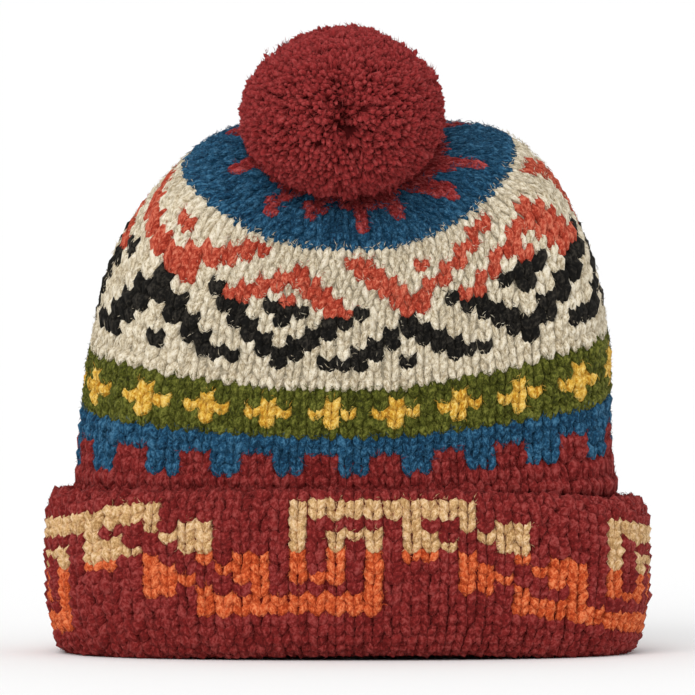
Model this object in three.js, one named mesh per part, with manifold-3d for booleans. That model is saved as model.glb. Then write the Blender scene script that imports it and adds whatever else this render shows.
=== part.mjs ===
// A knitted bobble hat with a turned-up cuff, standing on the fold of the cuff.
// Millimetres, +Z up. The front faces -Y, and +X is on the right of someone who looks at the front.
// The origin lies on the ground, under the middle of the hat's box.

import * as THREE from "three";
import { mergeVertices } from "three/addons/utils/BufferGeometryUtils.js";
import Module from "manifold-3d";

const wasm = await Module();
wasm.setup();

// Driving sizes of the knitting
const WALL = 5.5;
const SEAM_GAP = 0.3;
const RING_SQUARENESS = 2.3;
const AROUND = 64;

// Crown sections: a line for each course of stitches where the shape changes.
// row counts the courses above the top of the cuff, halfWidth and centreX are seen from the front,
// sideZ is the height at both sides, and the last four say where the course crosses front and back.
const CROWN_COLUMNS = ["row", "halfWidth", "centreX", "sideZ", "frontY", "frontZ", "backY", "backZ"];
const LOWER_EDGE_Z = 11.5;
const CROWN_SECTIONS = {
  lowerEdge: [-16, 121, 0, LOWER_EDGE_Z, -74, LOWER_EDGE_Z, 74, LOWER_EDGE_Z],
  underCuff: [-8, 120.2, 0, 43, -74, 43, 74, 47],
  cuffTop: [-1, 118.7, -0.6, 77, -73, 77, 74, 88],
  teeth: [0, 117.6, -1, 85, -72, 82, 74, 96],
  greenBase: [4, 116, -0.6, 109, -72, 98, 74, 122],
  greenTop: [9, 114.2, 1, 135.5, -70, 119, 73, 150],
  midCream: [16, 102.5, 2.6, 180, -65, 150, 62, 200],
  creamTop: [23, 73, 6.5, 218, -56, 180, 30, 231],
  drips: [27, 50, 5, 225, -42, 194, 8, 232],
  topRing: [30, 28, 2, 220, -32, 203, -8, 223],
  eyelet: [33, 3, 0, 212, -24, 209.5, -19, 213.5],
};
const OUTER_ROWS = [-16, -8, -1, 1, 3, 5, 7, 9, 11, 13, 15, 17, 19, 21, 23, 25, 27, 28.5, 30, 31.5, 33];
const INNER_ROWS = [33, 31, 29, 27, 25, 23, 20, 17, 14, 11, 8, 4, -1];

// Cuff profile, from the foot of the outer face, over the top edge and down behind it.
// Each line is [out, height]: out is the distance from the crown's lower edge,
// and height runs from the fold at 0 to the top edge at 1.
const CUFF_PROFILE = [
  [1, 0],
  [4.4, 0.025],
  [6.8, 0.08],
  [8.6, 0.16],
  [10, 0.27],
  [10.9, 0.42],
  [11.3, 0.63],
  [11.1, 0.83],
  [9.9, 0.93],
  [7.6, 0.985],
  [5, 1],
  [2.2, 0.98],
  [0.8, 0.92],
  [0.6, 0.6],
  [0.6, 0.3],
];
const CUFF_HEIGHT = 72;
const CUFF_FRONT_RISE = 3;
const CUFF_RIGHT_DROP = 4;
const FOLD_INNER_ROUND = 2;
const ARCH_RISE = 2.5;
const ARCH_HALF_ANGLE = THREE.MathUtils.degToRad(65);
const ARCH_MIDDLE = THREE.MathUtils.degToRad(8);

// Pompom: a flattened ball over the eyelet, fuller below than above.
// Its short axis leans forwards, less than the crown does there.
const POMPOM_RADIUS = 46;
const POMPOM_AXIAL_RADIUS = 34.5;
const POMPOM_ROUNDNESS = 1.85;
const POMPOM_LOWER_AXIAL_RADIUS = 38.5;
const POMPOM_LOWER_ROUNDNESS = 2.4;
const POMPOM_UPRIGHTNESS = 0.55;
const POMPOM_SINK = 3;
const POMPOM_SIDE_SHIFT = -2.5;
const POMPOM_CORE_SHARE = 0.86;
const POMPOM_CORE_SIDES = 16;
const POMPOM_CORE_BANDS = 10;
const LOCK_COUNT = 56;
const LOCK_RADIUS = 9.8;
// Outline of a lock from root to tip: [share of its radius, share of its length]
const LOCK_OUTLINE = [
  [0, 0],
  [0.45, 0],
  [1, 0.86],
  [0.62, 0.97],
  [0, 1],
];
const LOCK_SIDES = 6;
const LOCK_UNEVENNESS = 0.035;
const LOCK_LOWEST_AIM = -0.8;
const SEAT_FIRST_ROW = 14;

// Tie: a stem through the eyelet with a knot under the crown's inner face
const TIE_RADIUS = 2.2;
const KNOT_RADIUS = 6;
const KNOT_DEPTH = 7;
// Outline of the knot from its foot upwards: [share of its radius, share of its depth]
const KNOT_OUTLINE = [
  [0, 1],
  [0.7, 0.85],
  [1, 0.5],
  [0.7, 0.1],
];
const TIE_SIDES = 12;

// Knitting yarn colours
const BURGUNDY = 0x7d242b;
const CREAM = 0xd2c7a8;

const crownSections = Object.values(CROWN_SECTIONS);
const crownTable = new THREE.CubicInterpolant(
  crownSections.map((section) => section[0]),
  crownSections.flatMap((section) => section.slice(1)),
  CROWN_COLUMNS.length - 1,
  new Float64Array(CROWN_COLUMNS.length - 1),
);

function rounded(value) {
  return Math.sign(value) * Math.abs(value) ** (2 / RING_SQUARENESS);
}

// A point on the crown's outer face. The angle starts at the front and turns towards +X.
function crownOuter(row, angle) {
  const [halfWidth, centreX, sideZ, frontY, frontZ, backY, backZ] = crownTable.evaluate(row);
  const forward = Math.cos(angle);
  const x = centreX + halfWidth * rounded(Math.sin(angle));
  const y = (frontY + backY) / 2 + ((frontY - backY) / 2) * rounded(forward);
  const z = sideZ + ((frontZ + backZ) / 2 - sideZ) * forward ** 2 + ((frontZ - backZ) / 2) * forward;
  return new THREE.Vector3(x, y, z);
}

function crownNormal(row, angle) {
  const step = 0.02;
  const up = crownOuter(row + step, angle).sub(crownOuter(row - step, angle));
  const along = crownOuter(row, angle + step).sub(crownOuter(row, angle - step));
  return along.cross(up).normalize();
}

function crownPoint(row, angle, outward) {
  return crownOuter(row, angle).addScaledVector(crownNormal(row, angle), outward);
}

function ring(pointAt) {
  return Array.from({ length: AROUND }, (_, place) => pointAt((2 * Math.PI * place) / AROUND));
}

// Triangles between neighbouring rings, with the last ring joined to the first where the band is closed
function bandTriangles(ringCount, closed) {
  const triangles = [];
  const bands = closed ? ringCount : ringCount - 1;
  for (let band = 0; band < bands; band += 1) {
    const low = band * AROUND;
    const high = ((band + 1) % ringCount) * AROUND;
    for (let place = 0; place < AROUND; place += 1) {
      const next = (place + 1) % AROUND;
      triangles.push(low + place, low + next, high + next);
      triangles.push(low + place, high + next, high + place);
    }
  }
  return triangles;
}

function geometryFrom(points, triangles) {
  const geometry = new THREE.BufferGeometry().setFromPoints(points);
  geometry.setIndex(triangles);
  geometry.computeVertexNormals();
  return geometry;
}

function hollowRing(rings) {
  return geometryFrom(rings.flat(), bandTriangles(rings.length, true));
}

function cappedRings(rings) {
  const points = rings.flat();
  const triangles = bandTriangles(rings.length, false);
  const lastRing = (rings.length - 1) * AROUND;
  for (let place = 1; place < AROUND - 1; place += 1) {
    triangles.push(0, place + 1, place);
    triangles.push(lastRing, lastRing + place, lastRing + place + 1);
  }
  return geometryFrom(points, triangles);
}

// A point beside the outline of the crown's lower edge, which the cuff follows too
function edgePoint(angle, out, z) {
  const { x, y } = crownPoint(CROWN_SECTIONS.lowerEdge[0], angle, out);
  return new THREE.Vector3(x, y, z);
}

// Crown: outer face upwards, through the eyelet, and down the inner face
function crownGeometry() {
  const outer = OUTER_ROWS.map((row) => ring((angle) => crownPoint(row, angle, 0)));
  const inner = INNER_ROWS.map((row) => ring((angle) => crownPoint(row, angle, -WALL)));
  const innerEdge = ring((angle) => edgePoint(angle, -WALL, LOWER_EDGE_Z));
  return hollowRing([...outer, ...inner, innerEdge]);
}

// The front of the fold stands a little off the ground
function archHeight(angle) {
  const fromMiddle = Math.abs(Math.atan2(Math.sin(angle - ARCH_MIDDLE), Math.cos(angle - ARCH_MIDDLE)));
  const share = Math.max(0, 1 - fromMiddle / ARCH_HALF_ANGLE);
  return ARCH_RISE * THREE.MathUtils.smoothstep(share, 0, 1);
}

function cuffTopHeight(angle) {
  const towardsFront = Math.max(0, Math.cos(angle));
  const towardsRight = Math.max(0, Math.sin(angle));
  return CUFF_HEIGHT + CUFF_FRONT_RISE * towardsFront ** 2 - CUFF_RIGHT_DROP * towardsRight ** 2;
}

function cuffGeometry() {
  const seatZ = LOWER_EDGE_Z - SEAM_GAP;
  const shell = CUFF_PROFILE.map(([out, height]) =>
    ring((angle) => {
      const foot = archHeight(angle);
      return edgePoint(angle, out, foot + (cuffTopHeight(angle) - foot) * height);
    }),
  );
  const seatOuter = ring((angle) => edgePoint(angle, SEAM_GAP, seatZ));
  const seatInner = ring((angle) => edgePoint(angle, -WALL, seatZ));
  const lip = ring((angle) => edgePoint(angle, -WALL, (seatZ + archHeight(angle)) / 2));
  const foot = ring((angle) => edgePoint(angle, FOLD_INNER_ROUND - WALL, archHeight(angle)));
  return hollowRing([...shell, seatOuter, seatInner, lip, foot]);
}

function solidFrom(geometry) {
  const bare = geometry.clone();
  bare.deleteAttribute("normal");
  bare.deleteAttribute("uv");
  const merged = mergeVertices(bare);
  const vertProperties = new Float32Array(merged.attributes.position.array);
  const triVerts = new Uint32Array(merged.index.array);
  return new wasm.Manifold(new wasm.Mesh({ numProp: 3, vertProperties, triVerts }));
}

function geometryOf(solid) {
  const { vertProperties, triVerts } = solid.getMesh();
  const geometry = new THREE.BufferGeometry();
  geometry.setAttribute("position", new THREE.BufferAttribute(vertProperties, 3));
  geometry.setIndex(new THREE.BufferAttribute(triVerts, 1));
  geometry.computeVertexNormals();
  return geometry;
}

// The eyelet's middle, and the turn that points +Y out of the crown there
const eyeletRow = CROWN_SECTIONS.eyelet[0];
const eyeletRing = ring((angle) => crownPoint(eyeletRow, angle, 0));
const eyeletMiddle = new THREE.Vector3();
eyeletRing.forEach((point) => eyeletMiddle.addScaledVector(point, 1 / AROUND));
const eyeletNormal = new THREE.Vector3();
eyeletRing.forEach((_, place) => eyeletNormal.add(crownNormal(eyeletRow, (2 * Math.PI * place) / AROUND)));
eyeletNormal.normalize();
const eyeletTurn = new THREE.Quaternion().setFromUnitVectors(new THREE.Vector3(0, 1, 0), eyeletNormal);
const pompomAxis = eyeletNormal.clone().lerp(new THREE.Vector3(0, 0, 1), POMPOM_UPRIGHTNESS).normalize();
const pompomTurn = new THREE.Quaternion().setFromUnitVectors(new THREE.Vector3(0, 1, 0), pompomAxis);

// One lock of yarn ends, standing on +Y with a domed tip
function lockGeometry(length) {
  const profile = LOCK_OUTLINE.map(([wide, far]) => new THREE.Vector2(LOCK_RADIUS * wide, length * far));
  return new THREE.LatheGeometry(profile, LOCK_SIDES);
}

// Directions spread evenly over a ball by the golden angle, with +Y as the pompom's axis
function lockAim(place) {
  const axial = 1 - (2 * place + 1) / LOCK_COUNT;
  const turn = place * Math.PI * (3 - Math.sqrt(5));
  const across = Math.sqrt(1 - axial ** 2);
  return new THREE.Vector3(across * Math.cos(turn), axial, across * Math.sin(turn));
}

function pompomReach(aim) {
  const below = aim.y < 0;
  const axialRadius = below ? POMPOM_LOWER_AXIAL_RADIUS : POMPOM_AXIAL_RADIUS;
  const roundness = below ? POMPOM_LOWER_ROUNDNESS : POMPOM_ROUNDNESS;
  const across = Math.hypot(aim.x, aim.z) / POMPOM_RADIUS;
  const axial = Math.abs(aim.y) / axialRadius;
  return (across ** roundness + axial ** roundness) ** (-1 / roundness);
}

function pompomGeometry() {
  const core = new THREE.SphereGeometry(1, POMPOM_CORE_SIDES, POMPOM_CORE_BANDS);
  const coreRadius = POMPOM_RADIUS * POMPOM_CORE_SHARE;
  core.scale(coreRadius, POMPOM_AXIAL_RADIUS * POMPOM_CORE_SHARE, coreRadius);
  let ball = solidFrom(core);
  for (let place = 0; place < LOCK_COUNT; place += 1) {
    const aim = lockAim(place);
    if (aim.y > LOCK_LOWEST_AIM) {
      const trim = 1 + LOCK_UNEVENNESS * Math.sin(place * place);
      const lock = lockGeometry(pompomReach(aim) * trim);
      lock.applyQuaternion(new THREE.Quaternion().setFromUnitVectors(new THREE.Vector3(0, 1, 0), aim));
      ball = ball.add(solidFrom(lock));
    }
  }
  const placed = geometryOf(ball);
  placed.applyQuaternion(pompomTurn);
  const middle = eyeletMiddle.clone().addScaledVector(pompomAxis, POMPOM_AXIAL_RADIUS - POMPOM_SINK);
  placed.translate(middle.x + POMPOM_SIDE_SHIFT, middle.y, middle.z);
  const seatRows = OUTER_ROWS.filter((row) => row >= SEAT_FIRST_ROW);
  const seat = cappedRings(seatRows.map((row) => ring((angle) => crownPoint(row, angle, SEAM_GAP))));
  return geometryOf(solidFrom(placed).subtract(solidFrom(seat)));
}

function tieGeometry() {
  const knotTop = -WALL - SEAM_GAP;
  const knot = KNOT_OUTLINE.map(
    ([wide, deep]) => new THREE.Vector2(KNOT_RADIUS * wide, knotTop - KNOT_DEPTH * deep),
  );
  const stem = [
    new THREE.Vector2(TIE_RADIUS, knotTop),
    new THREE.Vector2(TIE_RADIUS, 0),
    new THREE.Vector2(0, 0),
  ];
  const profile = [...knot, ...stem];
  const geometry = new THREE.LatheGeometry(profile, TIE_SIDES);
  geometry.applyQuaternion(eyeletTurn);
  geometry.translate(eyeletMiddle.x, eyeletMiddle.y, eyeletMiddle.z);
  return geometry;
}

function yarn(color) {
  return new THREE.MeshStandardMaterial({ color, roughness: 0.95, metalness: 0 });
}

function piece(name, geometry, color) {
  const mesh = new THREE.Mesh(geometry, yarn(color));
  mesh.name = name;
  return mesh;
}

const hat = new THREE.Group();
hat.add(piece("crown", crownGeometry(), CREAM));
hat.add(piece("cuff", cuffGeometry(), BURGUNDY));
hat.add(piece("pompom", pompomGeometry(), BURGUNDY));
hat.add(piece("pompom_tie", tieGeometry(), BURGUNDY));

const box = new THREE.Box3().setFromObject(hat, true);
const middle = box.getCenter(new THREE.Vector3());
hat.position.set(-middle.x, -middle.y, -box.min.z);

export default hat;
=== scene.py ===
import math
from collections import namedtuple

import bpy
import numpy as np
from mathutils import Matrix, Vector, kdtree


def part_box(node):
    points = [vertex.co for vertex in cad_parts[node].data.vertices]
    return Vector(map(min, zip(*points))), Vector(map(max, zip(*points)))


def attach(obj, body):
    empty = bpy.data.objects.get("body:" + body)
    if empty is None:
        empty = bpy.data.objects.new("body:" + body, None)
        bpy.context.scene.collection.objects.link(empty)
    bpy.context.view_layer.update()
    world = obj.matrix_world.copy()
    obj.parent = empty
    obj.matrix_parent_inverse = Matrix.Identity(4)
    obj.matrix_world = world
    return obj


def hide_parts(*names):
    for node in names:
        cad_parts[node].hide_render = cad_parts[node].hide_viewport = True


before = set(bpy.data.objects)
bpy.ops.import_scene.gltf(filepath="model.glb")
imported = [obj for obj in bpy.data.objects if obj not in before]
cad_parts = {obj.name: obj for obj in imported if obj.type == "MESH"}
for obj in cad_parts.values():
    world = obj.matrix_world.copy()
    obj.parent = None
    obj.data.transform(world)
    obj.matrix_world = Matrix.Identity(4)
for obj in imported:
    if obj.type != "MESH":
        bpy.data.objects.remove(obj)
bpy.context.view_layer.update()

# A knitted bobble hat: every stitch, yarn end and loose fibre is a closed mesh laid on the hat's faces.
# Lengths are in millimetres until a mesh is made. The front faces -Y, and +X is on the right of the front.

MM = 0.001
# Added to vectors that could have no length
TINY = 1e-9
SEED = 20
# Nothing lies closer to the floor than this
FLOOR_GAP = 0.1
rng = np.random.default_rng(SEED)

# Crown sections: row, half width, centre x, side z, front y, front z, back y, back z
LOWER_EDGE_Z = 11.5
CROWN_SECTIONS = (
    (-16, 121, 0, LOWER_EDGE_Z, -74, LOWER_EDGE_Z, 74, LOWER_EDGE_Z),
    (-8, 120.2, 0, 43, -74, 43, 74, 47),
    (-1, 118.7, -0.6, 77, -73, 77, 74, 88),
    (0, 117.6, -1, 85, -72, 82, 74, 96),
    (4, 116, -0.6, 109, -72, 98, 74, 122),
    (9, 114.2, 1, 135.5, -70, 119, 73, 150),
    (16, 102.5, 2.6, 180, -65, 150, 62, 200),
    (23, 73, 6.5, 218, -56, 180, 30, 231),
    (27, 50, 5, 225, -42, 194, 8, 232),
    (30, 28, 2, 220, -32, 203, -8, 223),
    (33, 3, 0, 212, -24, 209.5, -19, 213.5),
)
LOWEST_ROW = CROWN_SECTIONS[0][0]
EYELET_ROW = CROWN_SECTIONS[-1][0]
RING_SQUARENESS = 2.3
RING_POINTS = 720
WALL = 5.5
STITCH_DEPTH = 2.9
EYELET_POINTS = 64
# A hundredth of a course, for the ends of ranges and for the eyelet's edge
ROW_MARGIN = 0.01

# The fabric behind the stitches, with purl bumps inside
WALL_COLUMNS = 120
BACKING_DEPTH = 1.75
INNER_STITCHES = 80
PURL_LIFT = 0.9
PURL_MEAN = 0.6

# Cuff profile: distance out from the crown's lower edge, and height as a share of the cuff
CUFF_PROFILE = (
    (-5.5, 0.12),
    (-5, 0.04),
    (-3.5, 0),
    (1, 0),
    (4.4, 0.025),
    (6.8, 0.08),
    (8.6, 0.16),
    (10, 0.27),
    (10.9, 0.42),
    (11.3, 0.63),
    (11.1, 0.83),
    (9.9, 0.93),
    (7.6, 0.985),
    (5, 1),
    (2.2, 0.98),
    (0.8, 0.92),
    (0.6, 0.6),
    (0.6, 0.3),
)
# The profile's lines on its outer side, from the fold up
CUFF_OUTER_LINES = slice(3, 11)
CUFF_HEIGHT = 72
CUFF_FRONT_RISE = 3
CUFF_RIGHT_DROP = 4
ARCH_RISE = 2.5
ARCH_HALF_ANGLE = math.radians(65)
ARCH_MIDDLE = math.radians(8)
CUFF_ROW = 4.6
FRET_FOOT_Z = 19

# Pompom: a flattened ball whose short axis stands between upright and square to the crown at the eyelet
POMPOM_RADIUS = 46
POMPOM_AXIAL_RADIUS = 34.5
POMPOM_ROUNDNESS = 1.85
POMPOM_LOWER_AXIAL_RADIUS = 38.5
POMPOM_LOWER_ROUNDNESS = 2.4
POMPOM_UPRIGHTNESS = 0.55
POMPOM_SINK = 3
POMPOM_SIDE_SHIFT = -2.5
TUFT_COUNT = 7000
TUFT_RADIUS = 1.25
TUFT_RADIUS_SPREAD = 0.15
TUFT_REACH = 0.985
TUFT_REACH_SPREAD = 0.018
TUFT_SCATTER = 0.014
TUFT_LEAN = 1.8
TUFT_SIDES = 4
TUFT_LUMPS = 0.3
# Along a yarn end: share of its reach, share of its lean and share of its radius
TUFT_STATIONS = (
    (0.66, 0, 0),
    (0.78, 0.15, 0.75),
    (0.9, 0.55, 1),
    (0.975, 0.95, 0.9),
    (1, 1.1, 0),
)
# Yarn ends that come closer to the crown than this are left out
TUFT_CLEARANCE = 0.8
CLUMPS = 130
CLUMP_SCATTER = 0.08
CLUMP_PULL = 0.17
# The parting runs down the front, and is deepest below the middle
PARTING = ((-0.06, -0.87, 0.48), (0.05, -0.95, -0.28), (0.12, -0.85, -0.5))
PARTING_STRENGTH = (0.3, 1, 0.4)
PARTING_STEPS = 25
PARTING_WIDTH = 0.17
PARTING_DEPTH = 0.4
PARTING_PUSH = 1.2
# In the middle of the parting few yarn ends are left
PARTING_BARE = 0.55
PARTING_FILL = 0.35
# Where the ball is clipped closer, and by what share
POMPOM_CLIPPED = (((-0.75, -0.1, 0.65), 0.09), ((0.8, -0.1, 0.6), 0.05))
CLIP_SHARPNESS = 4
# The middle of the ball
CORE_REACH = 0.89
CORE_PARTING = 0.42
# A share that darkens the core's yarn further: painted shade, so that the gaps between the yarn ends look
# deep
CORE_PAINTED_SHADE = 0.8
CORE_ROWS = 25
CORE_AROUND = 48
CORE_POLE_ANGLE = 0.02
CORE_CLEARANCE = 0.5

# Tie: a stem through the eyelet with a knot under the crown's inner face
KNOT_DEPTH = 7
KNOT_GAP = 0.3
KNOT_TURNS_RADIUS = 2.6
KNOT_TURNS_SWING = 1.3
KNOT_TURNS_RISE = 1.6
KNOT_YARN_RADIUS = 1.5
KNOT_SIDES = 8
KNOT_STATIONS = 60
STEM_RADIUS = 2.1
STEM_SIDES = 10
STEM_STATIONS = 12

# Yarn colours: in the gaps, on the strand and on its raised fibres
YARNS = {
    "red": ((88, 15, 14), (122, 30, 28), (151, 66, 62)),
    # A brighter copy of the red yarn for the top and its drips: painted light against the shadow that the
    # pompom casts there
    "painted_light_red": ((98, 17, 18), (146, 39, 40), (182, 88, 86)),
    "blue": ((6, 34, 57), (23, 71, 101), (65, 111, 140)),
    "green": ((36, 38, 5), (74, 78, 20), (115, 115, 50)),
    "gold": ((168, 108, 16), (214, 167, 56), (234, 202, 116)),
    "cream": ((158, 141, 112), (212, 199, 172), (234, 225, 206)),
    "black": ((5, 4, 3), (17, 15, 12), (50, 46, 40)),
    "coral": ((130, 34, 20), (174, 64, 44), (206, 115, 90)),
    "tan": ((154, 114, 66), (206, 166, 113), (232, 200, 160)),
    "orange": ((154, 49, 16), (203, 87, 42), (229, 132, 85)),
}
POMPOM_COLOURS = ((124, 32, 33), (146, 43, 43), (163, 71, 69))

# How each yarn knits: its radius in stitch widths, its unevenness and its loose fibres to a stitch
YARN_HABITS = {
    "red": (0.33, 1.4, 20),
    "painted_light_red": (0.35, 1.2, 20),
    "blue": (0.31, 1.4, 18),
    "green": (0.3, 1.2, 18),
    "gold": (0.3, 1, 12),
    "cream": (0.26, 1, 12),
    "black": (0.35, 1, 12),
    "coral": (0.33, 1, 12),
    "tan": (0.28, 1, 12),
    "orange": (0.28, 1, 12),
}

# Noise over a strand's own map: the scale of its streaks and the scale of its tone
STITCH_SCALES = ((90, 70, 1), (8, 8, 1))
TUFT_SCALES = ((70, 14, 1), (8, 8, 1))
FUZZ_SCALES = ((9, 9, 1), (12, 12, 1))
BACKING_SCALE = (900, 300, 1)
NOISE_ROUGHNESS = 0.6
STREAK_DETAIL = 3
STREAK_ROUGHNESS = 0.75
TONE_DETAIL = 1
TONE_SHARE = 0.2
RAMP_SPREAD = 0.1
# The flecks of the fabric behind: their place on the noise and their shade
BACKING_FLECKS = ((0.25, (150, 150, 150)), (0.7, (255, 255, 255)))
FLECK_SHARE = 0.8
# Surfaces: least and most roughness, and the bumps' strength and their distance in metres
YARN_ROUGHNESS = (0.78, 0.98)
YARN_BUMP = (0.7, 0.0006)
BACKING_ROUGHNESS = (0.85, 1)
BACKING_BUMP = (0.8, 0.001)
# Sockets of a mix node: its share, its two numbers, its two colours and the colour that comes out
MIX_SHARE = 0
MIX_NUMBERS = (2, 3)
MIX_COLOURS = (6, 7)
MIX_COLOUR_OUT = 2

# Colour charts, one letter to a stitch, the lowest course first
LETTERS = {
    "r": "red", "b": "blue", "g": "green", "y": "gold", "c": "cream",
    "k": "black", "o": "coral", "t": "tan", "n": "orange",
}
# The crown's stitches start just behind the top of the cuff
CROWN_FIRST_COURSE = -4
FIRST_SEEN_ROW = -2.2
# Stitches round the crown by course, of which some are lost at the back
BODY_STITCHES = ((8, 88), (9, 84), (11, 84), (16, 80.5), (21, 68), (23, 64))
# How far a course's columns lean to the right, in stitches
COLUMN_LEANS = ((8, 0), (9, -0.5), (16, -0.5), (21, 0.3), (23, 0.4))
# At the hat's sides the knitting is stretched: how strongly by course, and how far each share is moved
STRETCH_COURSES = ((9, 0.5), (11, 0.35), (16, 1), (21, 1), (24, 0))
CUFF_STRETCH = 0.6
SIDE_STRETCH = ((0, 0), (0.13, 0), (0.2, 0.035), (0.3, 0.04), (0.5, 0))
TEETH = ("bbrr", "bbrr", "bbbb", "bbbb")
STARS = ("gggg", "gygg", "yyyg", "gygg", "gggg")
STARS_SHIFT = 2
WAVES = (
    "cccccccccccccccc",
    "cccccccccccccccc",
    "kcckkkcckcckkkcc",
    "cckkccckkkccckkc",
    "ckkccckkckkccckk",
    "kkccckkccckkccck",
    "kccckkcckcckkccc",
    "oockoockkkcookcc",
    "oocccoococooccco",
    "coocccoocoocccoo",
    "ccoocccooocccooc",
    "occoocccocccoocc",
    "ccccoocccccooccc",
    "cccccccccccccccc",
)
WAVES_SHIFT = 12
STARS_FIRST_COURSE = len(TEETH)
WAVES_FIRST_COURSE = STARS_FIRST_COURSE + len(STARS)
CUFF_STITCHES = 85
CUFF_FRONT_STITCH = 2.62
FRET = (
    "nnnnnrrrrrrrnnnnn",
    "nnnnnrrrrrrrnnnnn",
    "rrrrnrrrrnnrnrrnr",
    "nnnrnrrrrnnnrrnnr",
    "nrnrnrrrrnnrrnnnr",
    "nrnrnrnnrnrrnrnnr",
    "trtrtrtttrrttrrrr",
    "trtttrttrrtttrrrr",
    "trrrrrtrrtrttrrrr",
    "ttttttttttrrrrrrr",
    "ttttttttttrrrrrrr",
)
CUFF_LOWEST_COURSE = -8
CUFF_HIGHEST_COURSE = 15
# Courses by which the cuff's face goes on past its stitches
CUFF_SPARE_BELOW = 4
CUFF_SPARE_ABOVE = 2
# The cuff's courses below and above these are turned out of sight, and have no loose fibres
CUFF_FIRST_SEEN_ROW = -5.5
CUFF_LAST_SEEN_ROW = 13
CUFF_DROOP = 1.9
CUFF_DROOP_START = 0.1
CUFF_DROOP_END = 0.24

# Crown decreases: the stitches in each course above the chart, and the red drips from the top
TOP_FIRST_COURSE = WAVES_FIRST_COURSE + len(WAVES)
TOP_STITCHES = (64, 61, 57, 52, 46, 40, 32, 24, 16, 10)
TOP_LEAN = 0.15
DRIP_HALF_WIDTH = 0.5
DRIP_WIDENING = 0.2
TOP_RED_SIDE_COURSE = 27.2
TOP_RED_FRONT_COURSE = 29
# Each drip's share of the way round, and its lowest course
DRIPS = (
    (-0.43, 26), (-0.36, 25), (-0.3, 26), (-0.212, 26), (-0.127, 25), (-0.07, 26), (0.004, 25),
    (0.07, 26), (0.146, 25), (0.213, 25), (0.36, 25), (0.43, 26), (0.495, 25),
)

# The colours behind the stitches: yarn, first course and painted shade, a share that darkens the yarn so
# that the gaps between the stitches look shaded
BACKING_PAINTED_SHADE = 0.95
CREAM_BACKING_PAINTED_SHADE = 0.85
TEETH_BACKING_COURSE = 1
BACKING_BANDS = (
    ("red", LOWEST_ROW, BACKING_PAINTED_SHADE),
    ("blue", TEETH_BACKING_COURSE, BACKING_PAINTED_SHADE),
    ("green", STARS_FIRST_COURSE, BACKING_PAINTED_SHADE),
    ("cream", WAVES_FIRST_COURSE, CREAM_BACKING_PAINTED_SHADE),
    ("blue", TOP_FIRST_COURSE, BACKING_PAINTED_SHADE),
    ("red", TOP_RED_FRONT_COURSE, BACKING_PAINTED_SHADE),
)
BAND_EDGE = 0.001

# The crown's courses rise and sink from side to side: for each course, its rise in courses at RISE_SHARES
RISE_SHARES = (-0.45, -0.26, -0.17, -0.1, -0.05, 0.03, 0.09, 0.16, 0.26, 0.45)
COURSE_RISES = {
    -4: (0, 0, 0, 0, 0, 0, 0, 0, 0, 0),
    0: (0, 0, 0.2, 0.1, 0, 0, 0.6, 1, 1, 0),
    4: (0, 0, 0.4, 0.3, 0, 0, 0.7, 1.2, 1.2, 0),
    9: (0, 0, 0.5, 0.4, 0, 0, 1, 1.6, 1.2, 0),
    16: (0, 0, 1.5, 0.9, 0, 0, 1, 1.6, 1.4, 0),
    23: (0, -1.2, -0.5, -0.4, -0.1, 0.2, 0.9, 1.3, 1.4, 0),
    28: (0, -0.6, -0.2, 0, 0, 0, 0.3, 0.6, 0.6, 0),
    31: (0, 0, 0, 0, 0, 0, 0, 0, 0, 0),
}

# Stitch leg, in courses and stitches: its foot lies over the course below, its head behind the course above
LEG_STATIONS = np.array((0, 0.16, 0.5, 0.84, 1))
LEG_FOOT = -1.15
LEG_LENGTH = 1.95
LEG_FOOT_SPREAD = 0.05
LEG_SPREAD = 0.38
LEG_SPREAD_POWER = 0.9
LEG_SIDES = 5
LEG_LUMPS = 0.16
# How unevenly legs lie: sideways in stitches, along in courses, in thickness, and in lift in millimetres
LEG_SWAY = 0.04
LEG_STRAY = 0.06
LEG_FATNESS = 0.08
LEG_SWELL = 0.16
# How far along, and lift in millimetres where a stitch is LIFT_WIDTH wide
LIFT_WIDTH = 7.5
LEG_LIFT = ((0, 0.5), (0.2, 1.4), (0.5, 1.5), (0.8, 0.3), (1, -1.6))

# Loose fibres: the ranges of their lengths, of their slants off a face and of the lifts of their roots
FIBRE_SIDES = 3
FIBRE_CURL = 0.6
FIBRE_BEND = 0.3
STITCH_FIBRE_RADIUS = 0.16
STITCH_FIBRE_LENGTHS = (1.8, 3.6)
STITCH_FIBRE_SLANTS = (-0.1, 0.4)
STITCH_FIBRE_LIFTS = (-0.9, 0.2)
POMPOM_FIBRE_RADIUS = 0.17
POMPOM_FIBRE_LENGTHS = (2, 4)
POMPOM_FIBRE_SLANTS = (-0.2, 0.6)
POMPOM_FIBRE_DEPTH = 1.6
FIBRES_PER_TUFT = 4

# Each strand takes one tile of the map at random, and leaves a margin round itself
ATLAS_TILES = 8
TILE_MARGIN = 0.04

# Floor, light and camera, in metres
FLOOR_HALF = 60
FLOOR_COLOUR = (0.92, 0.92, 0.92, 1)
SKY_COLOUR = (1, 1, 1, 1)
SKY_STRENGTH = 0.85
SUN_STRENGTH = 1.3
SUN_ANGLE = math.radians(40)
SUN_WAY = Vector((0.25, 0.75, -0.6))
CAMERA_DISTANCE = 8
CAMERA_ELEVATION = math.radians(2)
CAMERA_AIM = Vector((0, 0, 0.134))
# The photo is this wide at the hat
PHOTO_WIDTH = 0.3058


def unit(vectors):
    return vectors / np.linalg.norm(vectors, axis=-1, keepdims=True)


def linear(colour):
    """A colour in 0 to 255 as shares of light, with its alpha."""
    shares = [channel / 255 for channel in colour]
    return [s / 12.92 if s <= 0.04045 else ((s + 0.055) / 1.055) ** 2.4 for s in shares] + [1]


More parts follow.
